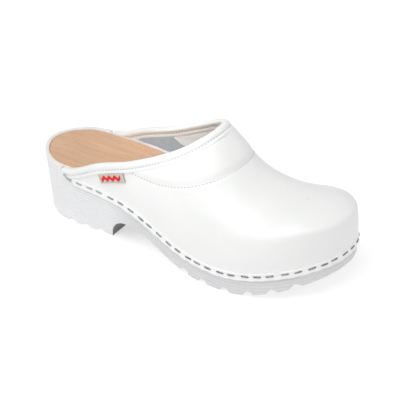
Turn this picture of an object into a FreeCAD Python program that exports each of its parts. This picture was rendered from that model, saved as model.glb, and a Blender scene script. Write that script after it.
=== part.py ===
import FreeCAD, Part
import math
import os
from FreeCAD import Placement, Rotation, Vector

# Wooden clog, right foot, open back, stapled upper on a heeled sole.
# Millimetres. +X points to the toe, +Z up, +Y to the inner (medial) side of the foot.
# The origin is on the ground under the middle of the shoe.

doc = FreeCAD.newDocument("wooden_clog")

# ---------------------------------------------------------------- driving dimensions

sheet = doc.addObject("Spreadsheet::Sheet", "Dimensions")

DIMENSIONS = [
    ("outline_length", 270),     # length that the outline's shares refer to
    ("sole_width", 104),         # at the ball of the foot
    ("block_height", 60),        # height the sole is cut from
    ("heel_lean", 5),            # how much the heel walls lean in at the ground
    ("ball_lean", 1),            # how much the fore walls lean in
    ("heel_rounding", 15),       # side-view radius at the rear foot of the heel
    ("breast_radius", 14),       # hollow front of the heel
    ("tread_groove_radius", 4),  # scallops between the tread lugs
    ("tread_groove_depth", 3.4),
    ("heel_groove_depth", 2.4),
    ("rebate_depth", 4.6),       # step in the side of the sole that takes the upper
    ("rim_width", 4),            # raised rim round the wooden footbed
    ("recess_depth", 7),         # pocket in the sole for the footbed
    ("footbed_drop", 0.9),       # footbed surface below the rim
    ("footbed_gap", 0.2),        # clearance round the footbed
    ("strip_thickness", 0.9),    # rand strip under the staples
    ("strip_height", 5.6),
    ("leather_thickness", 1.8),
    ("middle_thickness", 0.8),   # puff, foam and interlining between leather and lining
    ("lining_thickness", 0.8),
    ("layer_gap", 0.05),         # glue line between two layers
    ("binding_width", 8.2),      # padded edge, measured down from the topline
    ("binding_thickness", 1.0),
    ("edge_roll_height", 2.2),   # soft core inside the binding, on the cut edge
    ("staple_crown", 5.8),
    ("staple_wire", 1.1),
    ("staple_leg", 5.2),
    ("staple_pitch", 9.9),
    ("staple_rise", 3.1),        # crown above the upper's lower edge
    ("staple_stand", 0.32),      # underside of the crown outside the sole's outline
    ("stitch_length", 2.0),
    ("stitch_pitch", 2.9),
    ("stitch_drop", 5.0),        # stitch row below the topline
    ("thread_size", 0.55),
    ("patch_thickness", 0.6),
    ("label_height", 7.8),
    ("label_thickness", 0.5),
]

for row, (alias, number) in enumerate(DIMENSIONS, start=1):
    sheet.set("A%d" % row, alias)
    sheet.set("B%d" % row, str(number))
    sheet.setAlias("B%d" % row, alias)
doc.recompute()


def size(alias):
    """A driving dimension from the sheet."""
    return float(sheet.get(alias))


HALF_LENGTH = size("outline_length") / 2
HALF_WIDTH = size("sole_width") / 2

# ---------------------------------------------------------------- smooth lines


def solve(rows, right):
    """Unknowns of a small system of linear equations."""
    count = len(rows)
    table = [list(row) + [value] for row, value in zip(rows, right)]
    for pivot in range(count):
        for row in range(pivot + 1, count):
            factor = table[row][pivot] / table[pivot][pivot]
            for column in range(pivot, count + 1):
                table[row][column] -= factor * table[pivot][column]
    answer = [0.0] * count
    for row in reversed(range(count)):
        known = sum(table[row][column] * answer[column] for column in range(row + 1, count))
        answer[row] = (table[row][count] - known) / table[row][row]
    return answer


class Spline:
    """Cubic line through values at rising places; a closed one ends on its first value."""

    def __init__(self, places, values, closed=False):
        self.places = list(places)
        self.values = list(values)
        spans = len(places) - 1
        steps = [places[i + 1] - places[i] for i in range(spans)]
        slopes = [(values[i + 1] - values[i]) / steps[i] for i in range(spans)]
        count = spans if closed else spans + 1
        rows = []
        right = []
        for i in range(count):
            row = [0.0] * count
            if closed or 0 < i < spans:
                before, after = (i - 1) % spans, i % spans
                row[(i - 1) % count] += steps[before]
                row[i] += 2 * (steps[before] + steps[after])
                row[(i + 1) % count] += steps[after]
                right.append(6 * (slopes[after] - slopes[before]))
            else:
                row[i] = 1.0
                right.append(0.0)
            rows.append(row)
        self.bends = solve(rows, right)
        if closed:
            self.bends.append(self.bends[0])

    def span(self, place):
        """Span that holds a place; the end spans also serve beyond the ends."""
        index = 0
        while index < len(self.places) - 2 and place > self.places[index + 1]:
            index += 1
        return index

    def at(self, place):
        i = self.span(place)
        step = self.places[i + 1] - self.places[i]
        far = (self.places[i + 1] - place) / step
        near = 1 - far
        bend = (far ** 3 - far) * self.bends[i] + (near ** 3 - near) * self.bends[i + 1]
        return far * self.values[i] + near * self.values[i + 1] + bend * step * step / 6

    def slope(self, place, reach=0.01):
        return (self.at(place + reach) - self.at(place - reach)) / (2 * reach)


def height_line(points):
    """Side-view line given as (x, z) points."""
    return Spline([x for x, z in points], [z for x, z in points])


# ---------------------------------------------------------------- design lines

# Plan outline of the sole: shares of the half length and half width, from the back
# of the heel along the outer side to the toe and back along the inner side.
OUTLINE = [
    (-1.020, 0.000), (-0.951, -0.415), (-0.808, -0.663), (-0.530, -0.721),
    (-0.200, -0.760), (0.150, -0.930), (0.444, -1.000), (0.726, -0.817),
    (0.933, -0.346), (0.998, 0.180), (0.948, 0.654), (0.770, 0.942),
    (0.520, 1.000), (0.185, 0.875), (-0.240, 0.696), (-0.560, 0.706),
    (-0.823, 0.663), (-0.957, 0.423),
]
# Top of the sole's rim: high and level at the heel, low at the ball, up again at the toe.
RIM = height_line([(-135, 52.5), (-97, 51.2), (-57, 51.4), (-17, 44.2),
                   (18, 30.6), (58, 24.6), (98, 27.5), (135, 35)])
# Lower edge of the upper on the side of the sole.
RAND = height_line([(-103, 41), (-72, 38.4), (-42, 34), (-12, 25), (18, 16.6),
                    (48, 13.9), (78, 16.2), (108, 22.6), (136, 28.9)])
# Underside from the heel's front to the toe; it dips under the ground plane at the ball.
UNDERSIDE = height_line([(-41, 16.6), (-22, 14.4), (-2, 8.5), (18, 2.6), (38, -0.4),
                         (62, -0.6), (82, 2.6), (103, 8.6), (122, 15.4), (142, 21.6)])
# Crest of the upper, where its two sides meet, and how far it lies to the inner side.
CREST = height_line([(-110, 172), (-72, 163.5), (-32, 141), (0, 121), (18, 107), (32, 92.5),
                     (43, 81), (56, 71.2), (70, 66), (84, 64.8), (98, 65.4)])
CREST_OFFSET = height_line([(-110, 0.5), (-72, 1), (18, 6), (98, 5)])
# Edge of the foot opening in side view, from the upper's rear end to its peak and on.
TOPLINE = height_line([(-100, 50.4), (-91, 52.6), (-72, 61.8), (-42, 73), (-12, 86.6),
                       (8, 97), (24, 106.4), (45, 118)])
ARC_SEAM = height_line([(-50, 71), (-34, 67.6), (-16, 66.2), (0, 67.4), (20, 72),
                        (36, 77), (56, 83)])
REAR_END = [(-90.4, 37), (-100, 46)]   # slanted rear end of the upper, foot to top
PUFF_REAR = 84                         # the toe puff reaches back to here
PATCH_FRONT = [(-41, 68), (-31, 61.5), (-20, 58.5), (-8, 56), (4, 34)]
PATCH_REAR = -78
LABEL_REAR, LABEL_FRONT = -67, -43
END_STAPLE = (-94.4, 43.7)             # middle of the staple across the rear end

UPPER_REAR = -103           # where the upper starts behind the arch of the foot
CREST_END = 98.5            # the crest stops here and the toe cap fans out from it
CREST_BLEND = 7
GROOVES_HEEL = (-95, -81, -67)
GROOVES_FORE = (22, 40, 60, 79, 96, 111)
BREAST_TOP = 2.6            # height of the centre of the hollow heel front
STATIONS = 26               # sections of the upper on each side
SKY = size("block_height") + 20   # cutters reach up to here over the sole

corners = [Vector(x * HALF_LENGTH, y * HALF_WIDTH, 0) for x, y in OUTLINE]
corners.append(corners[0])
chords = [0.0]
for start, end in zip(corners, corners[1:]):
    chords.append(chords[-1] + (end - start).Length)
TURN = chords[-1]
outline_x = Spline(chords, [corner.x for corner in corners], closed=True)
outline_y = Spline(chords, [corner.y for corner in corners], closed=True)


def smooth_step(value):
    value = min(max(value, 0.0), 1.0)
    return value * value * (3 - 2 * value)


def plan_point(place, inset=0.0):
    """Point of the outline at a distance round it, moved inwards by inset."""
    place = place % TURN
    out = Vector(-outline_y.slope(place), outline_x.slope(place), 0)
    out.normalize()
    return Vector(outline_x.at(place), outline_y.at(place), 0) + out * inset


def place_at(x, side):
    """Distance round the outline of the point at x on the outer (-1) or inner (1) side."""
    low, high = (0.0, TOE_PLACE) if side < 0 else (TURN, TOE_PLACE)
    for _ in range(50):
        middle = (low + high) / 2
        if outline_x.at(middle) < x:
            low = middle
        else:
            high = middle
    return (low + high) / 2


TOE_PLACE = max((0.3 * TURN + i * 0.5 for i in range(int(0.4 * TURN * 2))), key=outline_x.at)
TOE_X = outline_x.at(TOE_PLACE)


def outline_curves(inset, arcs=8, spans=6):
    """Closed plan curve in smoothly joined arcs; inset is a function of the place's x."""

    def point(place):
        return plan_point(place, inset(outline_x.at(place % TURN)))

    curves = []
    for arc in range(arcs):
        places = [TURN * (arc + i / spans) / arcs for i in range(spans + 1)]
        ends = [(point(place + 0.05) - point(place - 0.05)) * 10 for place in (places[0], places[-1])]
        curve = Part.BSplineCurve()
        curve.interpolate(Points=[point(place) for place in places], Parameters=places,
                          InitialTangent=ends[0], FinalTangent=ends[1])
        curves.append(curve)
    return curves


# ---------------------------------------------------------------- sketches and bodies


def plane(body, role):
    return next(item for item in body.Origin.OriginFeatures if item.Role == role)


def new_sketch(body, name, role="XY_Plane"):
    sketch = body.newObject("Sketcher::SketchObject", name)
    sketch.AttachmentSupport = (plane(body, role), [""])
    sketch.MapMode = "FlatFace"
    return sketch


def plan_sketch(body, name, inset, height_cell=None):
    sketch = new_sketch(body, name)
    sketch.addGeometry(outline_curves(inset), False)
    if height_cell:
        sketch.setExpression("AttachmentOffset.Base.z", height_cell)
    return sketch


def side_sketch(body, name, curve_points, outer_points):
    """Side-view region: a smooth edge through curve_points closed by straight lines."""
    sketch = new_sketch(body, name, "XZ_Plane")
    curve = Part.BSplineCurve()
    curve.interpolate([Vector(x, z, 0) for x, z in curve_points])
    sketch.addGeometry(curve, False)
    outer = [curve_points[-1]] + list(outer_points) + [curve_points[0]]
    for start, end in zip(outer, outer[1:]):
        sketch.addGeometry(Part.LineSegment(Vector(*start, 0), Vector(*end, 0)), False)
    return sketch


def line_points(line, start, end, step=9.0):
    """Evenly spaced (x, z) points of a side-view line."""
    count = max(int(round(abs(end - start) / step)), 2)
    places = [start + (end - start) * i / count for i in range(count + 1)]
    return [(x, line.at(x)) for x in places]


def cut_through(body, name, sketch):
    """Pocket through the whole width; it has to take something away."""
    before = body.Shape.Volume
    pocket = body.newObject("PartDesign::Pocket", name)
    pocket.Profile = sketch
    pocket.Type = "ThroughAll"
    pocket.Midplane = True
    doc.recompute()
    if not pocket.Shape.Volume < before - 1:
        raise RuntimeError(name + " cuts nothing")
    return pocket


def pad_up(body, name, sketch, height_cell="Dimensions.block_height"):
    pad = body.newObject("PartDesign::Pad", name)
    pad.Profile = sketch
    pad.setExpression("Length", height_cell)
    doc.recompute()
    return pad


# ---------------------------------------------------------------- sole


def lean_at(x):
    share = smooth_step((x + 70) / 90)
    return size("heel_lean") * (1 - share) + size("ball_lean") * share


def recess_inset(x):
    """Edge of the footbed: rim width at the heel, a little more where the upper is."""
    share = smooth_step((x + 118) / 24)
    return size("rim_width") + share * (size("rebate_depth") + 1.4 - size("rim_width"))


def make_sole(staple_legs):
    body = doc.addObject("PartDesign::Body", "sole_block")
    low = plan_sketch(body, "ground_outline", lean_at)
    high = plan_sketch(body, "top_outline", lambda x: 0.0, "Dimensions.block_height")
    block = body.newObject("PartDesign::AdditiveLoft", "leaning_block")
    block.Profile = low
    block.Sections = [high]
    block.Ruled = True
    doc.recompute()

    end_x, end_z = REAR_END[1]
    floor = line_points(RAND, REAR_END[0][0] - 2, 145)
    cut_through(body, "rebate_step", side_sketch(body, "rebate_floor", floor, [
        (145, SKY), (end_x - 1, SKY), (end_x - 1, end_z)]))
    inner = plan_sketch(body, "inner_outline", lambda x: size("rebate_depth"))
    pad_up(body, "inner_block", inner)
    rim = side_sketch(body, "rim_line", line_points(RIM, -145, 145), [(145, SKY), (-145, SKY)])
    cut_through(body, "rim_cut", rim)
    shape_underside(body)

    recess = doc.addObject("Part::Feature", "footbed_recess")
    recess.Shape = footbed_block(recess_inset, 0.0, size("recess_depth"), 12)
    holes = doc.addObject("Part::Feature", "leg_holes_in_sole")
    holes.Shape = staple_legs
    tools = doc.addObject("Part::Compound", "sole_cutters")
    tools.Links = [recess, holes]
    shell = doc.addObject("Part::Cut", "sole_shell")
    shell.Base = body
    shell.Tool = tools
    doc.recompute()
    return shell


def footbed_block(inset, upper_drop, lower_drop, overshoot):
    """Plan prism between two heights that follow the rim line."""
    face = Part.Face(Part.Wire([curve.toShape() for curve in outline_curves(inset)]))
    prism = face.extrude(Vector(0, 0, SKY))
    rim = line_points(RIM, -145, 145)
    top = [(x, z - upper_drop + overshoot) for x, z in rim]
    bottom = [(x, z - lower_drop) for x, z in rim]
    return prism.common(under(top)).common(above(bottom))


def shape_underside(body):
    radius = size("heel_rounding")
    rear = OUTLINE[0][0] * HALF_LENGTH + size("heel_lean")
    corner = new_sketch(body, "heel_rear_corner", "XZ_Plane")
    corner.addGeometry(Part.ArcOfCircle(
        Part.Circle(Vector(rear + radius - 1, radius, 0), Vector(0, 0, 1), radius),
        math.pi, 1.5 * math.pi), False)
    outer = [(rear + radius - 1, 0), (rear + radius - 1, -5), (rear - 10, -5),
             (rear - 10, radius), (rear - 1, radius)]
    for start, end in zip(outer, outer[1:]):
        corner.addGeometry(Part.LineSegment(Vector(*start, 0), Vector(*end, 0)), False)
    cut_through(body, "heel_rear_rounding", corner)

    arch = side_sketch(body, "underside_line", line_points(UNDERSIDE, -41, 142),
                       [(142, -10), (-41, -10)])
    cut_through(body, "arch_and_toe_spring", arch)

    breast = new_sketch(body, "heel_breast_circle", "XZ_Plane")
    breast.addGeometry(Part.Circle(Vector(-41, BREAST_TOP, 0), Vector(0, 0, 1),
                                   size("breast_radius")), False)
    cut_through(body, "heel_breast", breast)

    grooves = new_sketch(body, "tread_grooves", "XZ_Plane")
    radius = size("tread_groove_radius")
    places = [(x, size("heel_groove_depth")) for x in GROOVES_HEEL]
    places += [(x, max(UNDERSIDE.at(x), 0) + size("tread_groove_depth")) for x in GROOVES_FORE]
    for x, top in places:
        grooves.addGeometry(Part.Circle(Vector(x, top - radius, 0), Vector(0, 0, 1), radius), False)
    cut_through(body, "tread_scallops", grooves)


def make_footbed():
    body = doc.addObject("PartDesign::Body", "wooden_footbed")
    body.Label = "wooden_footbed"

    def inset(x):
        return recess_inset(x) + size("footbed_gap")

    pad_up(body, "footbed_blank", plan_sketch(body, "footbed_outline", inset))
    rim = line_points(RIM, -145, 145)
    surface = [(x, z - size("footbed_drop")) for x, z in rim]
    cut_through(body, "foot_surface", side_sketch(body, "foot_line", surface,
                                                  [(145, SKY), (-145, SKY)]))
    depth = size("recess_depth") - size("footbed_gap")
    below = [(x, z - depth) for x, z in rim]
    cut_through(body, "footbed_underside", side_sketch(body, "underside_of_wood", below,
                                                       [(145, -10), (-145, -10)]))
    return body


# ---------------------------------------------------------------- upper


def crest_x(x):
    """Where on the crest a section that starts at x ends: the toe sections share its end."""
    if x < CREST_END - 60:
        return x
    return CREST_END - CREST_BLEND * math.log1p(math.exp((CREST_END - x) / CREST_BLEND))


def section(x, side, depth):
    """Four control points of the section from the rand to the crest, depth below the skin."""
    place = TOE_PLACE if x >= TOE_X else place_at(x, side)
    skin = size("strip_thickness") + size("layer_gap")
    foot = plan_point(place, skin + depth)
    out = foot - plan_point(place, skin + depth + 1)
    crest = crest_x(x)
    slope = CREST.slope(crest)
    fall = math.hypot(1, slope)
    top = Vector(crest - depth * -slope / fall, CREST_OFFSET.at(crest),
                 CREST.at(crest) - depth / fall)
    foot.z = RAND.at(min(x, TOE_X)) + 0.3
    fore = smooth_step((x - 18) / 60)
    cap = smooth_step((x - 75) / 45)
    wall = 0.56 + fore * 0.11 + cap * 0.17
    roof = 0.60 + fore * 0.13 + cap * 0.30
    rise = top.z - foot.z
    upright = foot + out * 1.6 + Vector(0, 0, wall * rise)
    level = Vector(top.x + roof * (foot.x - top.x), top.y + roof * (foot.y - top.y), top.z)
    return [foot, upright, level, top]


def station_places():
    """Section positions, closer together towards the toe tip."""
    count = STATIONS - 1
    return [TOE_X - (TOE_X - UPPER_REAR) * (1 - i / count) ** 2 for i in range(count + 1)]


def pole_line(points):
    curve = Part.BSplineCurve()
    curve.interpolate(Points=points, Parameters=[float(i) for i in range(len(points))])
    return curve


def surface_through(lines):
    """Surface whose rows of poles are the poles of the given matching curves."""
    rows = [line.getPoles() for line in lines]
    first = lines[0]
    surface = Part.BSplineSurface()
    surface.buildFromPolesMultsKnots(rows, [len(rows), len(rows)], first.getMultiplicities(),
                                     [0.0, 1.0], first.getKnots(), False, False,
                                     len(rows) - 1, first.Degree)
    return surface.toShape()


def shell_between(outer_depth, inner_depth):
    """Closed solid between two skins of the upper, over its whole extent."""
    faces = []
    ends = []
    for side in (-1, 1):
        columns = []
        for depth in (outer_depth, inner_depth):
            sections = [section(x, side, depth) for x in station_places()]
            columns.append([pole_line([poles[k] for poles in sections]) for k in range(4)])
            ends.append(sections[0])
        faces += [surface_through(lines) for lines in columns]
        faces.append(surface_through([columns[0][0], columns[1][0]]))
    outer_left, inner_left, outer_right, inner_right = ends
    for outer, inner in ((outer_left, inner_left), (outer_right, inner_right)):
        faces.append(end_face(outer, inner))
    shell = Part.makeShell(faces)
    shell.sewShape(1e-3)
    solid = Part.Solid(shell)
    if solid.Volume < 0:
        solid.reverse()
    return solid


def end_face(outer, inner):
    """Rear end of a shell between the two skins' first sections."""
    curves = []
    for poles in (outer, inner):
        curve = Part.BSplineCurve()
        curve.buildFromPolesMultsKnots(poles, [4, 4], [0.0, 1.0], False, 3)
        curves.append(curve)
    return surface_through(curves)


def parallel(line, start, end, drop, step=5.0):
    """Side-view points of a line moved down at right angles to it."""
    points = []
    for x, z in line_points(line, start, end, step):
        slope = line.slope(x)
        length = math.hypot(1, slope)
        points.append((x + drop * slope / length, z - drop / length))
    return points


def region(curve_points, closing_points, reach=80):
    """Solid across the whole width; a smooth side-view edge closed by straight lines."""
    curve = Part.BSplineCurve()
    curve.interpolate([Vector(x, -reach, z) for x, z in curve_points])
    path = [curve_points[-1]] + list(closing_points) + [curve_points[0]]
    corners = [Vector(x, -reach, z) for x, z in path]
    edges = [Part.makeLine(start, end) for start, end in zip(corners, corners[1:])]
    return Part.Face(Part.Wire([curve.toShape()] + edges)).extrude(Vector(0, 2 * reach, 0))


def above(points, high=230):
    return region(points, [(points[-1][0], high), (points[0][0], high)])


def under(points, low=-20):
    return region(points, [(points[-1][0], low), (points[0][0], low)])


def behind(x):
    return Part.makeBox(300, 160, 300, Vector(x - 300, -80, -20))


def behind_rear_end(shift):
    """Everything behind the slanted rear end, moved forward by shift."""
    (foot_x, foot_z), (end_x, end_z) = REAR_END
    slant = (end_x - foot_x) / (end_z - foot_z)
    corners = [(foot_x - slant * foot_z + shift, 0), (end_x + shift, end_z), (end_x + shift, 60),
               (-200, 60), (-200, 0)]
    corners.append(corners[0])
    wire = Part.makePolygon([Vector(x, -80, z) for x, z in corners])
    return Part.Face(wire).extrude(Vector(0, 160, 0))


def topline_band(upper_drop, lower_drop, end_shift):
    """Band along the topline between two distances below it."""
    band = above(parallel(TOPLINE, -118, 45, lower_drop))
    band = band.cut(above(parallel(TOPLINE, -118, 45, upper_drop)))
    return band.cut(behind_rear_end(end_shift))


def raised(line, rise, start=-118, end=140):
    return [(x, z + rise) for x, z in line_points(line, start, end)]


# Depths of the layers under the skin of the leather.
GLUE = size("layer_gap")
LEATHER = (0.0, size("leather_thickness"))
MIDDLE = (LEATHER[1] + GLUE, LEATHER[1] + GLUE + size("middle_thickness"))
LINING = (MIDDLE[1] + GLUE, MIDDLE[1] + GLUE + size("lining_thickness"))
STRIP = (-GLUE - size("strip_thickness"), -GLUE)
COVER = (-GLUE - size("binding_thickness"), LINING[1] + GLUE + size("binding_thickness"))
EDGE_DROP = size("binding_thickness") + size("edge_roll_height") + 2 * GLUE


def add_part(name, shape):
    part = doc.addObject("Part::Feature", name)
    part.Label = name
    part.Shape = shape.removeSplitter() if len(shape.Solids) == 1 else shape
    part.Placement = Placement()
    return part


def layer(depths):
    """One layer of the upper up to the soft core of its edge, before it is divided."""
    shell = shell_between(*depths)
    shell = shell.cut(above(parallel(TOPLINE, -118, 45, EDGE_DROP)))
    return shell.cut(behind_rear_end(1 + 2 * GLUE))


def make_upper(legs):
    leather = layer(LEATHER).cut(legs)
    middle = layer(MIDDLE).cut(legs)
    lining = layer(LINING).cut(legs)
    over_seam = above(raised(ARC_SEAM, GLUE, -118, 56))
    under_seam = above(raised(ARC_SEAM, -GLUE, -118, 56))
    parts = [
        add_part("vamp_leather", leather),
        add_part("toe_puff", middle.cut(behind(PUFF_REAR))),
        add_part("instep_foam", middle.common(over_seam)),
        add_part("interlining", middle.cut(under_seam).common(behind(PUFF_REAR - GLUE))),
        add_part("vamp_lining", lining),
    ]
    return parts


def make_edge():
    band = topline_band(0, size("binding_width"), 0)
    cover = shell_between(*COVER).common(band)
    hollow = under(parallel(TOPLINE, -118, 45, size("binding_thickness"))).cut(
        behind_rear_end(size("binding_thickness")))
    cover = cover.cut(shell_between(-GLUE, LINING[1] + GLUE).common(hollow))
    rim = shell_between(LINING[1] + GLUE / 2, COVER[1] + 2).common(under(raised(RIM, 0.3)))
    cover = cover.cut(rim)
    roll_top = size("binding_thickness") + GLUE
    roll = shell_between(GLUE, LINING[1]).common(
        topline_band(roll_top, roll_top + size("edge_roll_height"), roll_top))
    return [add_part("topline_binding", cover), add_part("topline_edge_roll", roll)]


def make_rand_strip(legs):
    strip = shell_between(*STRIP).common(under(raised(RAND, size("strip_height"), -118, 145)))
    strip = strip.cut(above(parallel(TOPLINE, -118, 45, size("binding_width") + 0.1)))
    strip = strip.cut(behind_rear_end(0))
    return add_part("rand_strip", strip.cut(legs))


def make_patches():
    depth = LINING[1] + GLUE
    shape = shell_between(depth, depth + size("patch_thickness"))
    shape = shape.common(under(parallel(TOPLINE, -118, 45, size("binding_width") + 0.2)))
    shape = shape.common(above(raised(RIM, 0.4)))
    shape = shape.common(region(PATCH_FRONT, [(-118, 34), (-118, 68)]))
    shape = shape.cut(behind(PATCH_REAR))
    solids = sorted(shape.Solids, key=lambda solid: solid.CenterOfMass.y)
    return [add_part("lining_patch_outer_side", solids[0]),
            add_part("lining_patch_inner_side", solids[-1])]


def make_label():
    drop = size("binding_width") + 0.2
    outline = parallel(TOPLINE, LABEL_REAR, LABEL_FRONT, drop)
    lower = parallel(TOPLINE, LABEL_REAR, LABEL_FRONT, drop + size("label_height"))
    tile = region(outline, list(reversed(lower)), 60)
    shape = shell_between(-GLUE - size("label_thickness"), -GLUE).common(tile)
    solid = min(shape.Solids, key=lambda item: item.CenterOfMass.y)
    return add_part("side_label", solid)


# ---------------------------------------------------------------- staples and stitches


def bezier(poles, share):
    rest = 1 - share
    return (poles[0] * rest ** 3 + poles[1] * (3 * rest * rest * share)
            + poles[2] * (3 * rest * share * share) + poles[3] * share ** 3)


def skin_row(line, side, start, end, depth, count=60):
    """Points with outward directions where a side-view line crosses one side of the skin."""
    row = []
    for i in range(count + 1):
        x = end - (end - start) * (1 - i / count) ** 2
        poles = section(x, side, depth)
        outer = section(x, side, depth - 1)
        low, high = 0.0, 1.0
        if poles[3].z < line.at(poles[3].x):
            break
        for _ in range(30):
            middle = (low + high) / 2
            point = bezier(poles, middle)
            if point.z < line.at(point.x):
                low = middle
            else:
                high = middle
        point = bezier(poles, low)
        out = bezier(outer, low) - point
        row.append((point, out.normalize()))
    return row


def both_sides(line, start, end, depth):
    outer = skin_row(line, -1, start, end, depth)
    inner = skin_row(line, 1, start, end, depth)
    return outer + inner[::-1]


def spaced(row, pitch):
    """Frames (point, along, out) at even distances along a row of points."""
    frames = []
    due = pitch / 2
    for (start, out), (end, _) in zip(row, row[1:]):
        gap = (end - start).Length
        while due <= gap:
            along = end - start
            frames.append((start + along * (due / gap), along.normalize(), out))
            due += pitch
        due -= gap
    return frames


def placed(shape, point, along, out):
    """Copy of a shape with its X along, its Z outwards."""
    across = out.cross(along).normalize()
    copy = shape.copy()
    copy.Placement = Placement(point, Rotation(along, across, out, "XZY"))
    return copy


def stitches(rows):
    length = size("stitch_length")
    thread = size("thread_size")
    stitch = Part.makeCylinder(thread / 2, length, Vector(-length / 2, 0, thread / 2 + GLUE),
                               Vector(1, 0, 0))
    return Part.makeCompound([placed(stitch, *frame) for row in rows
                              for frame in spaced(row, size("stitch_pitch"))])


def make_stitching():
    edge = height_line(parallel(TOPLINE, -100, 45, size("stitch_drop")))
    binding_rows = [both_sides(edge, -88, 30, COVER[0])]
    seam_rows = [both_sides(ARC_SEAM, -32, 48, 0.0)]
    return [add_part("binding_stitching", stitches(binding_rows)),
            add_part("instep_stitching", stitches(seam_rows))]


def staple(clearance=0.0):
    """Staple with its crown along X and its legs pointing down."""
    crown = size("staple_crown")
    wire = size("staple_wire")
    thickness = 0.8 * wire
    leg = size("staple_leg")
    shape = Part.makeBox(crown, wire, thickness, Vector(-crown / 2, -wire / 2, 0))
    width = wire + 2 * clearance
    height = leg + clearance + thickness
    for x in (-crown / 2, crown / 2 - thickness):
        corner = Vector(x - clearance, -width / 2, -leg - clearance)
        shape = shape.fuse(Part.makeBox(thickness + 2 * clearance, width, height, corner))
    return shape.removeSplitter()


def staple_frames():
    """Places round the rand; the hand-set spacing varies a little."""
    frames = []
    start = place_at(-83, -1)
    end = place_at(-83, 1)
    count = int((end - start) / size("staple_pitch"))
    for i in range(count + 1):
        drift = 0.6 * math.sin(2.4 * i) + 0.4 * math.sin(5.1 * i + 1)
        place = start + (end - start) * i / count + drift
        point = plan_point(place, -size("staple_stand"))
        ahead = plan_point(place + 0.5, -size("staple_stand"))
        out = plan_point(place, -1) - plan_point(place, 0)
        point.z = RAND.at(point.x) + size("staple_rise")
        ahead.z = RAND.at(ahead.x) + size("staple_rise")
        along = (ahead - point).normalize()
        frames.append((point, along, (out - along * out.dot(along)).normalize()))
    return frames


def end_staple_frames():
    """One staple across each rear end of the binding."""
    frames = []
    level = height_line([(-110, END_STAPLE[1]), (-80, END_STAPLE[1]), (30, END_STAPLE[1])])
    (foot_x, foot_z), (end_x, end_z) = REAR_END
    for side in (-1, 1):
        point, out = skin_row(level, side, END_STAPLE[0], 30, COVER[0] - 0.15)[0]
        along = Vector(end_x - foot_x, 0, end_z - foot_z).normalize()
        frames.append((point, (along - out * out.dot(along)).normalize(), out))
    return frames


def make_staples():
    side_frames = staple_frames()
    end_frames = end_staple_frames()
    parts = []
    for name, frames in (("side_staples", side_frames), ("end_staples", end_frames)):
        parts.append(add_part(name, Part.makeCompound([placed(staple(), *f) for f in frames])))
    holes = Part.makeCompound([placed(staple(0.02), *f) for f in side_frames + end_frames])
    return parts, holes


# ---------------------------------------------------------------- whole shoe

staples, holes = make_staples()
sole = make_sole(holes)
parts = [sole, make_footbed()] + make_upper(holes) + make_edge() + [make_rand_strip(holes)]
parts += make_patches() + [make_label()] + make_stitching() + staples
doc.recompute()

# The design lines start from the middle of the sole block; the finished shoe's ground
# box, staples included, is centred on the origin.
box = Part.makeCompound([part.Shape for part in parts]).optimalBoundingBox(False, False)
shift = Vector(-(box.XMin + box.XMax) / 2, -(box.YMin + box.YMax) / 2, -box.ZMin)
print("shift of the design lines: %.3f %.3f %.3f" % tuple(shift))
for part in parts:
    part.Placement = Placement(shift, Rotation())
doc.recompute()

for item in doc.Objects:
    if "Invalid" in item.State or "Error" in item.State:
        raise RuntimeError(item.Name + " failed to compute")
for part in parts:
    if part.Shape.isNull() or not part.Shape.isValid():
        raise RuntimeError(part.Label + " has no valid shape")

os.makedirs("parts", exist_ok=True)
for part in parts:
    box = part.Shape.optimalBoundingBox(False, False)
    print("%-26s %3d solids %9.1f mm3  x %7.1f %7.1f  y %6.1f %6.1f  z %6.1f %6.1f" % (
        part.Label, len(part.Shape.Solids), part.Shape.Volume,
        box.XMin, box.XMax, box.YMin, box.YMax, box.ZMin, box.ZMax))
    part.Shape.exportStep("parts/%s.step" % part.Label)
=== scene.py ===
import math

import bpy
import numpy as np
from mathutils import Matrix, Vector


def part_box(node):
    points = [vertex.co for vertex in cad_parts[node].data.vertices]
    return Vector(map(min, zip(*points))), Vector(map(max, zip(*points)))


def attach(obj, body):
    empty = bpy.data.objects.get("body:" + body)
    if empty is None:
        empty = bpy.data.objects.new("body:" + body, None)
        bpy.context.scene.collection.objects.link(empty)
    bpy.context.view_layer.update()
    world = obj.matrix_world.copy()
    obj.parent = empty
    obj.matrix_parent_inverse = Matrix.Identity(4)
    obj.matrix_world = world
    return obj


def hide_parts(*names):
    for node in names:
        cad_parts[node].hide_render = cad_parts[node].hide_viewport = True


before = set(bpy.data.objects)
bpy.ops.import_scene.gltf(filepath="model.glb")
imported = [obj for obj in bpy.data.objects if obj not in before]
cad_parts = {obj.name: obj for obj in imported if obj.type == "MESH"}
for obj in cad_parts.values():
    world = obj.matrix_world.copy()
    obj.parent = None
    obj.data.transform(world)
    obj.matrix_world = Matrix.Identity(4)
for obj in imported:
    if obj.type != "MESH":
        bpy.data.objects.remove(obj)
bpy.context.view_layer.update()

# A right-foot clog: stapled white leather upper with a padded topline, on a heeled sole
# with a wooden footbed. The design lines are in millimetres, +X to the toe, +Z up, +Y to
# the inner side of the foot; put() turns them into metres in the frame.

MM = 0.001
rng = np.random.default_rng(7)

# ---------------------------------------------------------------- smooth lines


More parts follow.
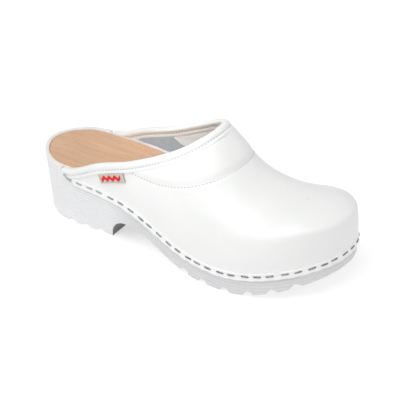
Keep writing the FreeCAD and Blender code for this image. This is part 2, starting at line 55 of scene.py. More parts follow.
class Line:
    """Cubic line through values at rising places; a closed one ends on its first value."""

    def __init__(self, places, values, closed=False):
        self.places = np.array(places, float)
        self.values = np.array(values, float)
        steps = np.diff(self.places)
        slopes = np.diff(self.values) / steps
        spans = len(steps)
        count = spans if closed else spans + 1
        rows = np.zeros((count, count))
        right = np.zeros(count)
        for i in range(count):
            if closed or 0 < i < spans:
                before, after = (i - 1) % spans, i % spans
                rows[i, (i - 1) % count] += steps[before]
                rows[i, i] += 2 * (steps[before] + steps[after])
                rows[i, (i + 1) % count] += steps[after]
                right[i] = 6 * (slopes[after] - slopes[before])
            else:
                rows[i, i] = 1
        bends = np.linalg.solve(rows, right)
        self.bends = np.append(bends, bends[0]) if closed else bends

    def at(self, place):
        place = np.asarray(place, float)
        i = np.clip(np.searchsorted(self.places, place) - 1, 0, len(self.places) - 2)
        step = self.places[i + 1] - self.places[i]
        far = (self.places[i + 1] - place) / step
        near = 1 - far
        bend = (far ** 3 - far) * self.bends[i] + (near ** 3 - near) * self.bends[i + 1]
        return far * self.values[i] + near * self.values[i + 1] + bend * step * step / 6

    def slope(self, place, reach=0.01):
        return (self.at(place + reach) - self.at(place - reach)) / (2 * reach)


def height_line(points):
    return Line([x for x, z in points], [z for x, z in points])


def smooth_step(value):
    value = np.clip(value, 0, 1)
    return value * value * (3 - 2 * value)


def unit(vectors):
    return vectors / np.maximum(np.linalg.norm(vectors, axis=-1, keepdims=True), 1e-12)


# ---------------------------------------------------------------- design lines

HALF_LENGTH, HALF_WIDTH = 135, 52
OUTLINE = [
    (-1.020, 0.000), (-0.951, -0.415), (-0.808, -0.663), (-0.530, -0.721),
    (-0.200, -0.760), (0.150, -0.930), (0.444, -1.000), (0.726, -0.817),
    (0.933, -0.346), (0.998, 0.180), (0.948, 0.654), (0.770, 0.942),
    (0.520, 1.000), (0.185, 0.875), (-0.240, 0.696), (-0.560, 0.706),
    (-0.823, 0.663), (-0.957, 0.423), (-1.020, 0.000),
]
RIM = height_line([(-135, 52.5), (-97, 51.2), (-57, 51.4), (-17, 44.2),
                   (18, 30.6), (58, 24.6), (98, 27.5), (135, 35)])
RAND = height_line([(-103, 41), (-72, 38.4), (-42, 34), (-12, 25), (18, 16.6),
                    (48, 13.9), (78, 16.2), (108, 22.6), (136, 28.9)])
CREST = height_line([(-110, 172), (-72, 163.5), (-32, 141), (0, 121), (18, 107), (32, 92.5),
                     (43, 81), (56, 71.2), (70, 66), (84, 64.8), (98, 65.4)])
CREST_OFFSET = height_line([(-110, 0.5), (-72, 1), (18, 6), (98, 5)])
TOPLINE = height_line([(-100, 50.4), (-91, 52.6), (-72, 61.8), (-42, 73), (-12, 86.6),
                       (8, 97), (24, 106.4), (45, 118)])
ARC_SEAM = height_line([(-50, 71), (-34, 67.6), (-16, 66.2), (0, 67.4), (20, 72),
                        (36, 77), (56, 83)])
REAR_FOOT, REAR_TOP = (-90.4, 37), (-100, 46)
PATCH_FRONT = [(-41, 68), (-31, 61.5), (-20, 58.5), (-8, 56), (4, 34)]
PUFF_REAR = 84
CREST_END, CREST_BLEND = 98.5, 7

RECESS_GAP = 0.2
STRIP_SKIN = 0.95
LEATHER, MIDDLE, LINING = (0.0, 1.8), (1.85, 2.65), (2.70, 3.50)
FOOTBED_DROP = 0.9
STITCH_DROP = 5.0
STAPLE_PITCH, STAPLE_RISE = 9.9, 3.1
STITCH_PITCH = 2.9
RIB_PITCH = 2.75
LABEL_REAR, LABEL_FRONT = -67, -43
LABEL_TOP, LABEL_FOLD = 8.3, 15.4
END_STAPLE = (-95.4, 44.6)
BREAST_X, BREAST_Z, BREAST_RADIUS = -41, 2.6, 15.4

corners = np.array(OUTLINE) * (HALF_LENGTH, HALF_WIDTH)
chords = np.append(0, np.cumsum(np.linalg.norm(np.diff(corners, axis=0), axis=1)))
TURN = chords[-1]
outline_x = Line(chords, corners[:, 0], closed=True)
outline_y = Line(chords, corners[:, 1], closed=True)
round_places = np.linspace(0, TURN, 12001)
round_x = outline_x.at(round_places)
toe_index = int(np.argmax(round_x))
TOE_X = round_x[toe_index]


def plan_point(place, inset=0.0):
    """Points of the outline, moved inwards by inset."""
    place = np.mod(place, TURN)
    out = unit(np.stack([-outline_y.slope(place), outline_x.slope(place)], -1))
    spot = np.stack([outline_x.at(place), outline_y.at(place)], -1)
    return spot + out * np.asarray(inset, float)[..., None]


def place_at(x, side):
    if side < 0:
        return np.interp(x, round_x[:toe_index + 1], round_places[:toe_index + 1])
    return np.interp(x, round_x[toe_index:][::-1], round_places[toe_index:][::-1])


def recess_inset(x):
    return 4 + smooth_step((x + 118) / 24) * 2


ring = np.linspace(0, TURN, 2000)
wood_edge = plan_point(ring, recess_inset(outline_x.at(ring)) + RECESS_GAP)
wood_low, wood_high = (np.array(corner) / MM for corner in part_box("wooden_footbed"))
SHIFT = np.append((wood_low[:2] + wood_high[:2] - wood_edge.min(0) - wood_edge.max(0)) / 2, 0)

# ---------------------------------------------------------------- skin of the upper


def section(x, side, depth):
    """Four control points of each section from the rand to the crest, depth below the skin."""
    x = np.asarray(x, float)
    place = place_at(x, side)
    foot = plan_point(place, STRIP_SKIN + depth)
    out = foot - plan_point(place, STRIP_SKIN + depth + 1)
    crest = np.where(x < CREST_END - 60, x,
                     CREST_END - CREST_BLEND * np.log1p(np.exp((CREST_END - x) / CREST_BLEND)))
    slope = CREST.slope(crest)
    fall = np.hypot(1, slope)
    top = np.stack([crest + depth * slope / fall, CREST_OFFSET.at(crest),
                    CREST.at(crest) - depth / fall], -1)
    foot = np.concatenate([foot, (RAND.at(x) + 0.3)[..., None]], -1)
    fore = smooth_step((x - 18) / 60)
    cap = smooth_step((x - 75) / 45)
    wall = (0.56 + fore * 0.11 + cap * 0.17) * (top[..., 2] - foot[..., 2])
    upright = foot + np.concatenate([out * 1.6, wall[..., None]], -1)
    roof = (0.60 + fore * 0.13 + cap * 0.30)[..., None]
    level = top + roof * (foot - top)
    level[..., 2] = top[..., 2]
    return np.stack([foot, upright, level, top], -2)


def along_section(poles, share):
    share = np.asarray(share)[..., None]
    rest = 1 - share
    return (poles[..., 0, :] * rest ** 3 + poles[..., 1, :] * 3 * rest * rest * share
            + poles[..., 2, :] * 3 * rest * share * share + poles[..., 3, :] * share ** 3)


def skin_point(x, share, side, depth):
    return along_section(section(x, side, depth), share)


def share_on(line, x, side, depth):
    """Share of each section at which it reaches a side-view line; 1 where it stays under it."""
    poles = section(x, side, depth)
    low, high = np.zeros(len(x)), np.ones(len(x))
    for _ in range(26):
        middle = (low + high) / 2
        point = along_section(poles, middle)
        under = point[:, 2] < line.at(point[:, 0])
        low = np.where(under, middle, low)
        high = np.where(under, high, middle)
    return high


def wall_point(x, z, side, depth):
    """Points of one side at x and a height z."""
    shape = np.broadcast(x, z).shape
    x, z = (np.broadcast_to(value, shape).ravel().astype(float) for value in (x, z))
    poles = section(x, side, depth)
    low, high = np.zeros(len(x)), np.ones(len(x))
    for _ in range(26):
        middle = (low + high) / 2
        under = along_section(poles, middle)[:, 2] < z
        low = np.where(under, middle, low)
        high = np.where(under, high, middle)
    return along_section(poles, high).reshape(shape + (3,))


def parallel(line, start, end, drop, count=34):
    """Side-view line moved down at right angles to it."""
    x = np.linspace(start, end, count)
    slope = line.slope(x)
    length = np.hypot(1, slope)
    return Line(x + drop * slope / length, line.at(x) - drop / length)


def topline_drop(drop):
    return parallel(TOPLINE, -118, 45, drop)


def rear_x(line, shift=0.0):
    """Where a side-view line meets the slanted rear end of the upper."""
    slant = (REAR_TOP[0] - REAR_FOOT[0]) / (REAR_TOP[1] - REAR_FOOT[1])
    x = -95.0
    for _ in range(30):
        x = (x + REAR_FOOT[0] + slant * (min(line.at(x), REAR_TOP[1]) - REAR_FOOT[1]) + shift) / 2
    return float(x)


def side_row(line, start, side, depth, turn=4.0, rows=150, roof_rows=60):
    """Points where a side-view line crosses one side of the skin, on to the crest."""
    x = np.linspace(start, turn, rows)
    share = share_on(line, x, side, depth)
    wall = skin_point(x, share, side, depth)
    shares = np.linspace(share[-1], 1, roof_rows + 1)[1:]
    low, high = np.full(roof_rows, turn - 1.0), np.full(roof_rows, 60.0)
    for _ in range(26):
        middle = (low + high) / 2
        point = skin_point(middle, shares, side, depth)
        under = point[:, 2] < line.at(point[:, 0])
        high = np.where(under, middle, high)
        low = np.where(under, low, middle)
    return np.concatenate([wall, skin_point(low, shares, side, depth)])


def even(points, count):
    """The same run of points at even distances."""
    lengths = np.append(0, np.cumsum(np.linalg.norm(np.diff(points, axis=0), axis=1)))
    spots = np.linspace(0, lengths[-1], count)
    return np.stack([np.interp(spots, lengths, points[:, k]) for k in range(3)], -1)


def over_row(line, start, depth, count):
    """A side-view line from the rear end over the crest to the other rear end."""
    outer = side_row(line, start, -1, depth)
    inner = side_row(line, start, 1, depth)
    half = count // 2 + 1
    return np.concatenate([even(outer, half), even(inner, half)[::-1][1:]])


# ---------------------------------------------------------------- meshes


def put(name, points, faces, slot, finish, nodes):
    """Mesh piece from points in millimetres; it takes its finish and its place in the frame."""
    mesh = bpy.data.meshes.new(name)
    used = np.unique(faces)
    spots = (np.asarray(points, float).reshape(-1, 3)[used] + SHIFT) * MM
    mesh.from_pydata(spots.tolist(), [], np.searchsorted(used, faces).tolist())
    mesh.validate()
    mesh.update()
    piece = bpy.data.objects.new(name, mesh)
    bpy.context.scene.collection.objects.link(piece)
    mesh.shade_smooth()
    mesh.materials.append(finish)
    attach(piece, "root")
    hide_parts(*nodes)
    return piece


def net(rows, columns, closed_rows=False, closed_columns=False):
    """Faces of a net of points laid out row by row."""
    i = np.arange(rows if closed_rows else rows - 1)[:, None]
    j = np.arange(columns if closed_columns else columns - 1)[None, :]
    down, right = (i + 1) % rows, (j + 1) % columns
    corners = [i * columns + j, i * columns + right, down * columns + right, down * columns + j]
    return np.stack([np.broadcast_to(c, (i.size, j.size)) for c in corners], -1).reshape(-1, 4)


def mark(piece, name, values):
    """Per-point number that a finish reads."""
    layer = piece.data.attributes.new(name, "FLOAT", "POINT")
    layer.data.foreach_set("value", np.asarray(values, np.float32).ravel())


def apply(piece, kind, **settings):
    """Adds a modifier and makes its result the piece's mesh."""
    modifier = piece.modifiers.new(kind, kind)
    for key, value in settings.items():
        setattr(modifier, key, value)
    evaluated = piece.evaluated_get(bpy.context.evaluated_depsgraph_get())
    made = bpy.data.meshes.new_from_object(evaluated)
    piece.modifiers.clear()
    old = piece.data
    piece.data = made
    made.name = piece.name
    bpy.data.meshes.remove(old)


def points_of(piece):
    spots = np.empty(len(piece.data.vertices) * 3)
    piece.data.vertices.foreach_get("co", spots)
    return spots.reshape(-1, 3) / MM - SHIFT


def grid_normals(points):
    """Unit normals of a net of points, rows by columns."""
    return unit(np.cross(np.gradient(points, axis=1), np.gradient(points, axis=0)))


def waves(points, pitch, seed):
    """Smooth random numbers about -1 to 1 that change over a length of pitch."""
    source = np.random.default_rng(seed)
    total = np.zeros(points.shape[:-1])
    for _ in range(7):
        direction = unit(source.normal(size=3)) * (2 * math.pi / pitch) * source.uniform(0.6, 1.4)
        total += np.sin(points @ direction + source.uniform(0, 6.28))
    return total / 3.2


# ---------------------------------------------------------------- finishes


class Signal:
    """A number that changes over a surface; arithmetic on it adds Math nodes."""

    def __init__(self, finish, socket):
        self.finish = finish
        self.socket = socket

    def __add__(self, other):
        return self.finish.math("ADD", self, other)

    def __radd__(self, other):
        return self.finish.math("ADD", other, self)

    def __sub__(self, other):
        return self.finish.math("SUBTRACT", self, other)

    def __rsub__(self, other):
        return self.finish.math("SUBTRACT", other, self)

    def __mul__(self, other):
        return self.finish.math("MULTIPLY", self, other)

    def __rmul__(self, other):
        return self.finish.math("MULTIPLY", other, self)

    def __pow__(self, other):
        return self.finish.math("POWER", self, other)

    def clip(self):
        return self.finish.math("MAXIMUM", self.finish.math("MINIMUM", self, 1.0), 0.0)

    def sine(self):
        return self.finish.math("SINE", self)

    def over(self, edge, softness):
        """0 below edge - softness, 1 above edge + softness."""
        return ((self - (edge - softness)) * (0.5 / softness)).clip()


class Finish:
    """A material of nodes for one of the record's slots."""

    def __init__(self, name, **constants):
        self.material = bpy.data.materials.new(name)
        self.material.use_nodes = True
        self.tree = self.material.node_tree
        self.tree.nodes.clear()
        self.shader = self.tree.nodes.new("ShaderNodeBsdfPrincipled")
        output = self.tree.nodes.new("ShaderNodeOutputMaterial")
        self.tree.links.new(self.shader.outputs[0], output.inputs[0])
        for key, value in constants.items():
            self.shader.inputs[key.replace("_", " ")].default_value = value

    def node(self, kind, settings=None, sockets=None, output=0):
        """Adds a node: its settings first, then the values or links of its sockets."""
        node = self.tree.nodes.new("ShaderNode" + kind)
        for key, value in (settings or {}).items():
            if key == "stops":
                for stop, (place, colour) in zip(node.color_ramp.elements, value):
                    stop.position, stop.color = place, colour
                for place, colour in value[2:]:
                    node.color_ramp.elements.new(place).color = colour
            else:
                setattr(node, key, value)
        for key, value in (sockets or {}).items():
            self.feed(node.inputs[key], value)
        return Signal(self, node.outputs[output])

    def math(self, operation, *values):
        return self.node("Math", {"operation": operation}, dict(enumerate(values)))

    def feed(self, socket, value):
        if isinstance(value, Signal):
            self.tree.links.new(value.socket, socket)
        else:
            socket.default_value = value

    def place(self, scale=(1, 1, 1)):
        """Position on the object in metres, stretched by scale."""
        spot = self.node("TexCoord", output="Object")
        return self.node("VectorMath", {"operation": "MULTIPLY"}, {0: spot, 1: scale})

    def noise(self, size, detail=2.0, stretch=(1, 1, 1), rough=0.5):
        """Random cloud with spots about size millimetres across."""
        return self.node("TexNoise", {}, {"Vector": self.place(stretch), "Scale": 1 / (size * MM),
                                          "Detail": detail, "Roughness": rough})

    def number(self, name):
        return self.node("Attribute", {"attribute_name": name}, output="Fac")

    def mix(self, share, first, second):
        return self.node("Mix", {"data_type": "RGBA"}, {0: share, 6: first, 7: second}, output=2)

    def set(self, **values):
        """Links what varies to the shader: Base_Color, Roughness, Metallic, Coat_Weight."""
        for key, value in values.items():
            self.feed(self.shader.inputs[key.replace("_", " ")], value)

    def relief(self, *layers):
        """Bumps one after another, each (height in millimetres, signal)."""
        normal = None
        for height, signal in layers:
            sockets = {"Height": signal, "Distance": height * MM, "Strength": 1.0}
            if normal:
                sockets["Normal"] = normal
            normal = self.node("Bump", {}, sockets)
        self.set(Normal=normal)


def tone(red, green, blue):
    return (red, green, blue, 1)


def make_leather(name, colour, edge_tone):
    """Smooth coated leather: fine pores, broad soft creasing and a slightly uneven gloss."""
    leather = Finish(name, Specular_IOR_Level=0.5, Coat_Roughness=0.25, Coat_IOR=1.5)
    pores = leather.node("TexVoronoi", {}, {"Vector": leather.place(), "Scale": 1 / (0.9 * MM)})
    fine = leather.noise(0.35, 3)
    soft = leather.noise(9, 3)
    broad = leather.noise(38, 2)
    shade = (broad * 0.7 + soft * 0.3).over(0.5, 0.3)
    leather.set(Base_Color=leather.mix(shade, edge_tone, colour),
                Roughness=0.40 + (soft - 0.5) * 0.16 + (fine - 0.5) * 0.10,
                Coat_Weight=0.10 + broad * 0.12)
    leather.relief((0.045, pores), (0.030, fine), (0.20, soft))
    return leather.material


def make_sole_white():
    """Moulded white plastic with raised wood-grain ribs on its sides and random scuffs; painted shade
    fills the heel's breast hollow and darkens the fore part, and the top rim is tinted cream as a painted
    reflection of the wood.
    """
    sole = Finish("sole_white", Specular_IOR_Level=0.45)
    rib = sole.number("grain")
    side = sole.number("side")
    rim = sole.number("rim")
    hollow = sole.number("hollow")
    loose = sole.number("loose")
    drift = sole.noise(26, 2, (0.5, 0.8, 1.4))
    flick = sole.noise(3.2, 2, (0.16, 0.25, 1.4))
    ridges = ((rib + (drift - 0.5) * loose * 1.6 + (flick - 0.5) * loose * 0.4) * (2 * math.pi)).sine()
    ridges = (ridges * 0.5 + 0.5) ** 1.4
    speck = sole.noise(0.8, 2)
    depth = ridges * side * (0.34 - loose * 0.02)
    cool = sole.mix(depth, tone(0.87, 0.872, 0.882), tone(0.70, 0.705, 0.725))
    scuff = sole.noise(11, 4).over(0.66, 0.10)
    scuffs_and_painted_shade = sole.mix(scuff * 0.14, cool, tone(0.66, 0.65, 0.64))
    # painted shade: the heel's breast hollow is coloured almost black
    scuffs_and_painted_shade = sole.mix(hollow * 0.97, scuffs_and_painted_shade, tone(0.02, 0.02, 0.021))
    # painted shade: the fore part of the sole is coloured darker grey
    scuffs_and_painted_shade = sole.mix(loose * 0.28, scuffs_and_painted_shade, tone(0.30, 0.30, 0.31))
    # painted reflection: the top rim is tinted cream, like light thrown back from the wooden footbed
    sole.set(Base_Color=sole.mix(rim, scuffs_and_painted_shade, tone(0.80, 0.775, 0.735)),
             Roughness=0.46 + (speck - 0.5) * 0.2 + scuff * 0.1 + ridges * 0.06)
    sole.relief((0.26, ridges * side * (1 - loose * 0.12)), (0.02, speck))
    return sole.material


def make_beech():
    """Sanded beech: lengthwise growth lines, short darker flecks and fine pores."""
    wood = Finish("beech", Specular_IOR_Level=0.35, Coat_Roughness=0.35)
    wander = wood.noise(55, 2, (0.5, 1, 1))
    lines = wood.noise(2.6, 4, (0.05, 1, 1), 0.6)
    bands = wood.noise(9, 3, (0.10, 1, 1))
    pores = wood.noise(0.42, 2, (0.12, 1, 1))
    flecks = wood.noise(0.9, 1, (0.35, 1, 1)).over(0.665, 0.02)
    figure = (lines * 0.55 + bands * 0.30 + wander * 0.15).over(0.5, 0.23)
    stops = [(0.0, tone(0.555, 0.330, 0.205)), (1.0, tone(0.745, 0.505, 0.345)),
             (0.55, tone(0.660, 0.420, 0.270))]
    base = wood.node("ValToRGB", {"stops": stops}, {"Fac": figure})
    base = wood.mix(flecks * 0.40, base, tone(0.40, 0.215, 0.12))
    base = wood.mix(pores.over(0.63, 0.06) * 0.20, base, tone(0.47, 0.27, 0.16))
    wood.set(Base_Color=base, Roughness=0.50 + (lines - 0.5) * 0.22, Coat_Weight=0.04 + lines * 0.08)
    wood.relief((0.03, pores), (0.05, lines))
    return wood.material


def make_cloth(name, light, dark, pitch, rough=0.9):
    """Plain weave of two crossing threads with uneven yarn."""
    cloth = Finish(name, Sheen_Weight=0.25, Sheen_Roughness=0.5, Specular_IOR_Level=0.2)
    across, up = (cloth.node("SeparateXYZ", {}, {0: cloth.place()}, output=axis) for axis in "XZ")
    uneven = cloth.noise(4, 3)
    turns = 2 * math.pi / (pitch * MM)
    warp = (across * turns + uneven * 2.2).sine()
    weft = (up * turns + uneven * 2.2).sine()
    weave = (warp * weft) * 0.5 + 0.5
    fuzz = cloth.noise(0.3, 3)
    cloth.set(Base_Color=cloth.mix((weave * 0.6 + fuzz * 0.3 + uneven * 0.3).clip(), dark, light),
              Roughness=rough - 0.08 + fuzz * 0.12)
    cloth.relief((0.12, weave), (0.05, fuzz))
    return cloth.material


def make_felt():
    """Needled grey felt: tangled fibres of lighter and darker grey."""
    felt = Finish("felt_grey", Sheen_Weight=0.4, Sheen_Roughness=0.6, Specular_IOR_Level=0.15)
    hair = felt.noise(0.5, 5, (1, 1, 0.5), 0.7)
    cross = felt.noise(0.7, 5, (0.4, 1, 1.3), 0.7)
    clumps = felt.noise(5, 4)
    tangle = hair * 0.45 + cross * 0.35 + clumps * 0.20
    felt.set(Base_Color=felt.mix(tangle.over(0.5, 0.16), tone(0.33, 0.40, 0.45), tone(0.53, 0.62, 0.69)),
             Roughness=0.86 + hair * 0.12)
    felt.relief((0.16, hair), (0.12, cross), (0.25, clumps))
    return felt.material


def make_label_cloth():
    """Woven tape with a generic red zigzag between two red lines."""
    tape = Finish("label_cloth", Sheen_Weight=0.2, Specular_IOR_Level=0.25)
    along = tape.number("along")
    down = tape.number("down")
    zig = tape.math("PINGPONG", along * 4.5, 0.5) * 2.0
    ramp = zig * 0.36 + 0.32
    bar = 1 - tape.math("ABSOLUTE", down - ramp).over(0.23, 0.02)
    inside = along.over(0.08, 0.01) * (1 - along.over(0.88, 0.01))
    edges = tape.math("ABSOLUTE", down - 0.5)
    red = bar * inside * (1 - edges.over(0.38, 0.015))
    yarn = ((along * (24 / 0.42) * 6.2832).sine() * (down * (8 / 0.42) * 6.2832).sine()) * 0.5 + 0.5
    fuzz = tape.noise(0.3, 3)
    plain = tape.mix((yarn * 0.6 + fuzz * 0.4).clip(), tone(0.50, 0.44, 0.39), tone(0.68, 0.62, 0.57))
    thread = tape.mix(yarn, tone(0.62, 0.008, 0.008), tone(0.84, 0.016, 0.014))
    tape.set(Base_Color=tape.mix(red, plain, thread), Roughness=0.72 + fuzz * 0.16)
    tape.relief((0.08, yarn), (0.10, red))
    return tape.material


def make_thread():
    """Twisted grey sewing thread."""
    thread = Finish("thread", Sheen_Weight=0.2, Specular_IOR_Level=0.3)
    twist = thread.noise(0.4, 2, (1, 1, 2))
    tint = thread.noise(14, 2)
    shade = (twist * 0.6 + tint * 0.4).over(0.5, 0.2)
    thread.set(Base_Color=thread.mix(shade, tone(0.30, 0.30, 0.31), tone(0.46, 0.46, 0.46)),
               Roughness=0.6 + twist * 0.2)
    thread.relief((0.06, twist))
    return thread.material


def make_staple_steel():
    """Drawn steel wire: fine lines along it, darker where it went through the driver, and paler where a
    painted highlight is marked.
    """
    steel = Finish("staple_steel")
    drawn = steel.noise(0.35, 3, (0.3, 0.3, 2.5))
    spots = steel.noise(2.4, 3)
    drab = steel.mix(spots.over(0.52, 0.14), tone(0.17, 0.175, 0.18), tone(0.38, 0.385, 0.39))
    # painted highlight: marked wire is coloured pale steel grey
    steel.set(Base_Color=steel.mix(steel.number("polish") * 0.8, drab, tone(0.66, 0.665, 0.67)),
              Metallic=0.9 + drawn * 0.1, Roughness=0.28 + drawn * 0.18 + spots * 0.08)
    steel.relief((0.03, drawn))
    return steel.material


def make_foam(name, light, dark):
    """Open foam or board: small cells."""
    foam = Finish(name, Specular_IOR_Level=0.2)
    cells = foam.node("TexVoronoi", {}, {"Vector": foam.place(), "Scale": 1 / (0.8 * MM)})
    fine = foam.noise(0.4, 3)
    foam.set(Base_Color=foam.mix((cells * 0.6 + fine * 0.4).clip(), dark, light),
             Roughness=0.85 + fine * 0.1)
    foam.relief((0.15, cells), (0.05, fine))
    return foam.material


leather = make_leather("leather_white", tone(0.86, 0.868, 0.855), tone(0.815, 0.825, 0.815))
rand_leather = make_leather("rand_white", tone(0.90, 0.905, 0.90), tone(0.86, 0.865, 0.86))
sole_white = make_sole_white()
beech = make_beech()
lining_cloth = make_cloth("lining_white", tone(0.94, 0.955, 0.965), tone(0.86, 0.875, 0.885), 1.1)
felt = make_felt()
label_cloth = make_label_cloth()
thread = make_thread()
steel = make_staple_steel()
foam = make_foam("foam", tone(0.9, 0.88, 0.80), tone(0.74, 0.72, 0.64))
puff_board = make_foam("puff_board", tone(0.8, 0.78, 0.72), tone(0.66, 0.64, 0.58))

# ---------------------------------------------------------------- staples' places


def staple_places():
    start, end = place_at(-83, -1), place_at(-83, 1)
    count = int((end - start) / STAPLE_PITCH)
    i = np.arange(count + 1)
    drift = 0.6 * np.sin(2.4 * i) + 0.4 * np.sin(5.1 * i + 1)
    return start + (end - start) * i / count + drift


staple_spots = staple_places()


def pinch(place):
    """1 at a staple, 0 half-way between two."""
    nearest = np.abs(np.asarray(place)[..., None] - staple_spots).min(-1)
    return np.exp(-(nearest / 2.6) ** 2)


# ---------------------------------------------------------------- sole


def make_sole():
    """The moulded sole with its edges rounded off; its sides carry the grain."""
    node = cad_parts["sole_shell"]
    piece = bpy.data.objects.new("moulded_sole", node.data.copy())
    bpy.context.scene.collection.objects.link(piece)
    piece.matrix_world = node.matrix_world
    piece.data.materials.clear()
    piece.data.materials.append(sole_white)
    apply(piece, "REMESH", mode="VOXEL", voxel_size=0.62 * MM, use_smooth_shade=True)
    apply(piece, "SMOOTH", factor=0.5, iterations=7)
    piece.data.shade_smooth()
    spots = points_of(piece)
    normals = np.empty(len(piece.data.vertices) * 3)
    piece.data.vertices.foreach_get("normal", normals)
    normals = normals.reshape(-1, 3)
    x, z = spots[:, 0], spots[:, 2]
    top = RIM.at(x)
    flat = smooth_step((0.82 - np.abs(normals[:, 2])) / 0.3)
    side = flat * smooth_step((top - 1.2 - z) / 1.0)
    heel = 1 - smooth_step((x + 62) / 34)
    follow = heel * 0.12 * (x + 45) - (1 - heel) * 0.75 * (RAND.at(x) - RAND.at(-45))
    mark(piece, "grain", (z + follow) / RIB_PITCH)
    # loose is 1 over the fore part, where the ribs wander and painted shade darkens the sole
    mark(piece, "loose", 1 - 0.90 * heel)
    # hollow marks the painted shade in the heel's breast, a little lighter towards the rear
    breast = np.hypot(x - BREAST_X, z - BREAST_Z)
    inside = smooth_step((BREAST_RADIUS - breast) / 0.8) * (0.84 + 0.16 * smooth_step((x + 54) / 10))
    mark(piece, "hollow", inside * smooth_step((0.62 - np.abs(normals[:, 1])) / 0.25))
    mark(piece, "side", side)
    # rim marks the top rim, which carries a painted reflection of the wood
    mark(piece, "rim", smooth_step((z - top + 1.5) / 0.9))
    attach(piece, "root")
    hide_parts("sole_shell")
    return piece


def make_footbed():
    """Wooden footbed: edges rounded over, a shallow cup under the heel and ball."""
    places = np.linspace(0, TURN, 900, endpoint=False)
    x = outline_x.at(places)
    edge = plan_point(places, recess_inset(x) + RECESS_GAP)
    spine_x = np.clip(edge[:, 0], edge[:, 0].min() + 34, edge[:, 0].max() - 34)
    table_x = np.linspace(-120, 120, 60)
    middle = Line(table_x, (outline_y.at(place_at(table_x, -1)) + outline_y.at(place_at(table_x, 1))) / 2)
    spine = np.stack([spine_x, middle.at(spine_x)], -1)
    rounding = [(0.0, -4.0), (0.0, -1.1), (0.12, -0.45), (0.45, -0.12), (1.0, 0.0)]
    rows = []
    reach = np.linalg.norm(edge - spine, axis=1, keepdims=True)
    inward = (spine - edge) / reach
    depth = 6.6
    rows.append(np.concatenate([edge + inward * 12, (RIM.at(edge[:, 0]) - depth - 0.1)[:, None]], -1))
    rows.append(np.concatenate([edge, (RIM.at(edge[:, 0]) - depth)[:, None]], -1))
    for inset, drop in rounding:
        spot = edge + inward * inset
        rows.append(np.concatenate([spot, (RIM.at(spot[:, 0]) - FOOTBED_DROP + drop)[:, None]], -1))
    for share in np.linspace(0, 1, 46)[1:]:
        spot = edge + inward * (1.0 + (reach - 1.0) * share)
        hollow = smooth_step(share * reach[:, 0] / 30) * (
            1.9 * np.exp(-((spot[:, 0] + 92) / 34) ** 2) + 0.9 * np.exp(-((spot[:, 0] - 55) / 45) ** 2))
        rows.append(np.concatenate([spot, (RIM.at(spot[:, 0]) - FOOTBED_DROP - hollow)[:, None]], -1))
    points = np.array(rows)
    return put("wooden_insole", points, net(len(rows), len(places), closed_columns=True), "beech", beech,
               ["wooden_footbed"])


# ---------------------------------------------------------------- upper


def skin_net(rear, front, depth, stations, rows, dense=2):
    """Both sides of the skin in one net, from foot to crest; stations crowd towards the front."""
    x = front - (front - rear) * (1 - np.linspace(0, 1, stations)) ** dense
    shares = np.repeat(np.linspace(0, 1, rows)[None, :], stations, 0)
    columns = [skin_point(np.repeat(x[:, None], rows, 1), shares, side, depth) for side in (-1, 1)]
    places = np.concatenate([place_at(x, -1), place_at(x, 1)[::-1][1:]])
    return np.concatenate([columns[0], columns[1][::-1][1:]]), places


def kept(points, *tests):
    """Faces of a net whose corners all pass every test."""
    faces = net(*points.shape[:2])
    good = np.all(tests, axis=0).ravel()
    return faces[good[faces].all(1)]


def below(line, points):
    return points[..., 2] < line.at(points[..., 0])


def seam_offset(points):
    """Distance over the skin from the arc seam, more than 0 above it."""
    height = points[..., 2] - ARC_SEAM.at(points[..., 0])
    steepness = 0
    for axis in (0, 1):
        rise = np.gradient(height, axis=axis)
        run = np.linalg.norm(np.gradient(points, axis=axis), axis=-1)
        steepness = steepness + (rise / np.maximum(run, 1e-6)) ** 2
    return height / np.sqrt(np.maximum(steepness, 0.01))


def outwards(points):
    out = grid_normals(points)
    return out * np.sign(np.sum(out * (points - np.array([0, 0, 45.0])), -1, keepdims=True))


def make_vamp():
    """Leather upper: padded panel above the arc seam, dimpled by stitches and staples."""
    points, places = skin_net(-90, TOE_X, LEATHER[0], 300, 215)
    faces = kept(points, below(topline_drop(3.6), points))
    out = outwards(points)
    offset = seam_offset(points)
    along = points[..., 0] * 1.15 + points[..., 1] * 0.35
    gather = 0.5 + 0.5 * np.cos(along * 2 * math.pi / STITCH_PITCH)
    groove = np.exp(-(offset / 1.0) ** 2) * (0.14 + 0.10 * gather)
    lip = np.exp(-((offset + 2.0) / 1.5) ** 2) * (0.12 + 0.08 * gather)
    to_edge = points[..., 2] - TOPLINE.at(points[..., 0])
    cushion = smooth_step(offset / 5.5) * smooth_step(-(to_edge + 5.0) / 7.0)
    cushion = cushion * smooth_step((points[..., 0] + 60) / 20)
    height = points[..., 2] - RAND.at(np.minimum(points[..., 0], TOE_X))
    held = pinch(places)[:, None]
    skirt = np.exp(-(np.maximum(height - 3.5, 0) / 4.2) ** 2) * 0.95
    skirt = skirt - np.exp(-((height - 6.0) / 1.9) ** 2) * 0.42 * held
    broad = waves(points, 46, 3) * 0.22 + waves(points, 19, 5) * 0.07
    shoulder = np.exp(-((out[..., 2] - 0.60) / 0.26) ** 2) * smooth_step((points[..., 0] - 42) / 46)
    lift = cushion * 1.2 - groove + lip + skirt + broad * smooth_step(height / 14) + shoulder * 1.5
    piece = put("leather_vamp", points + out * lift[..., None], faces, "leather_white", leather,
                ["vamp_leather"])
    apply(piece, "WELD", merge_threshold=0.02 * MM)
    piece.data.shade_smooth()
    return piece


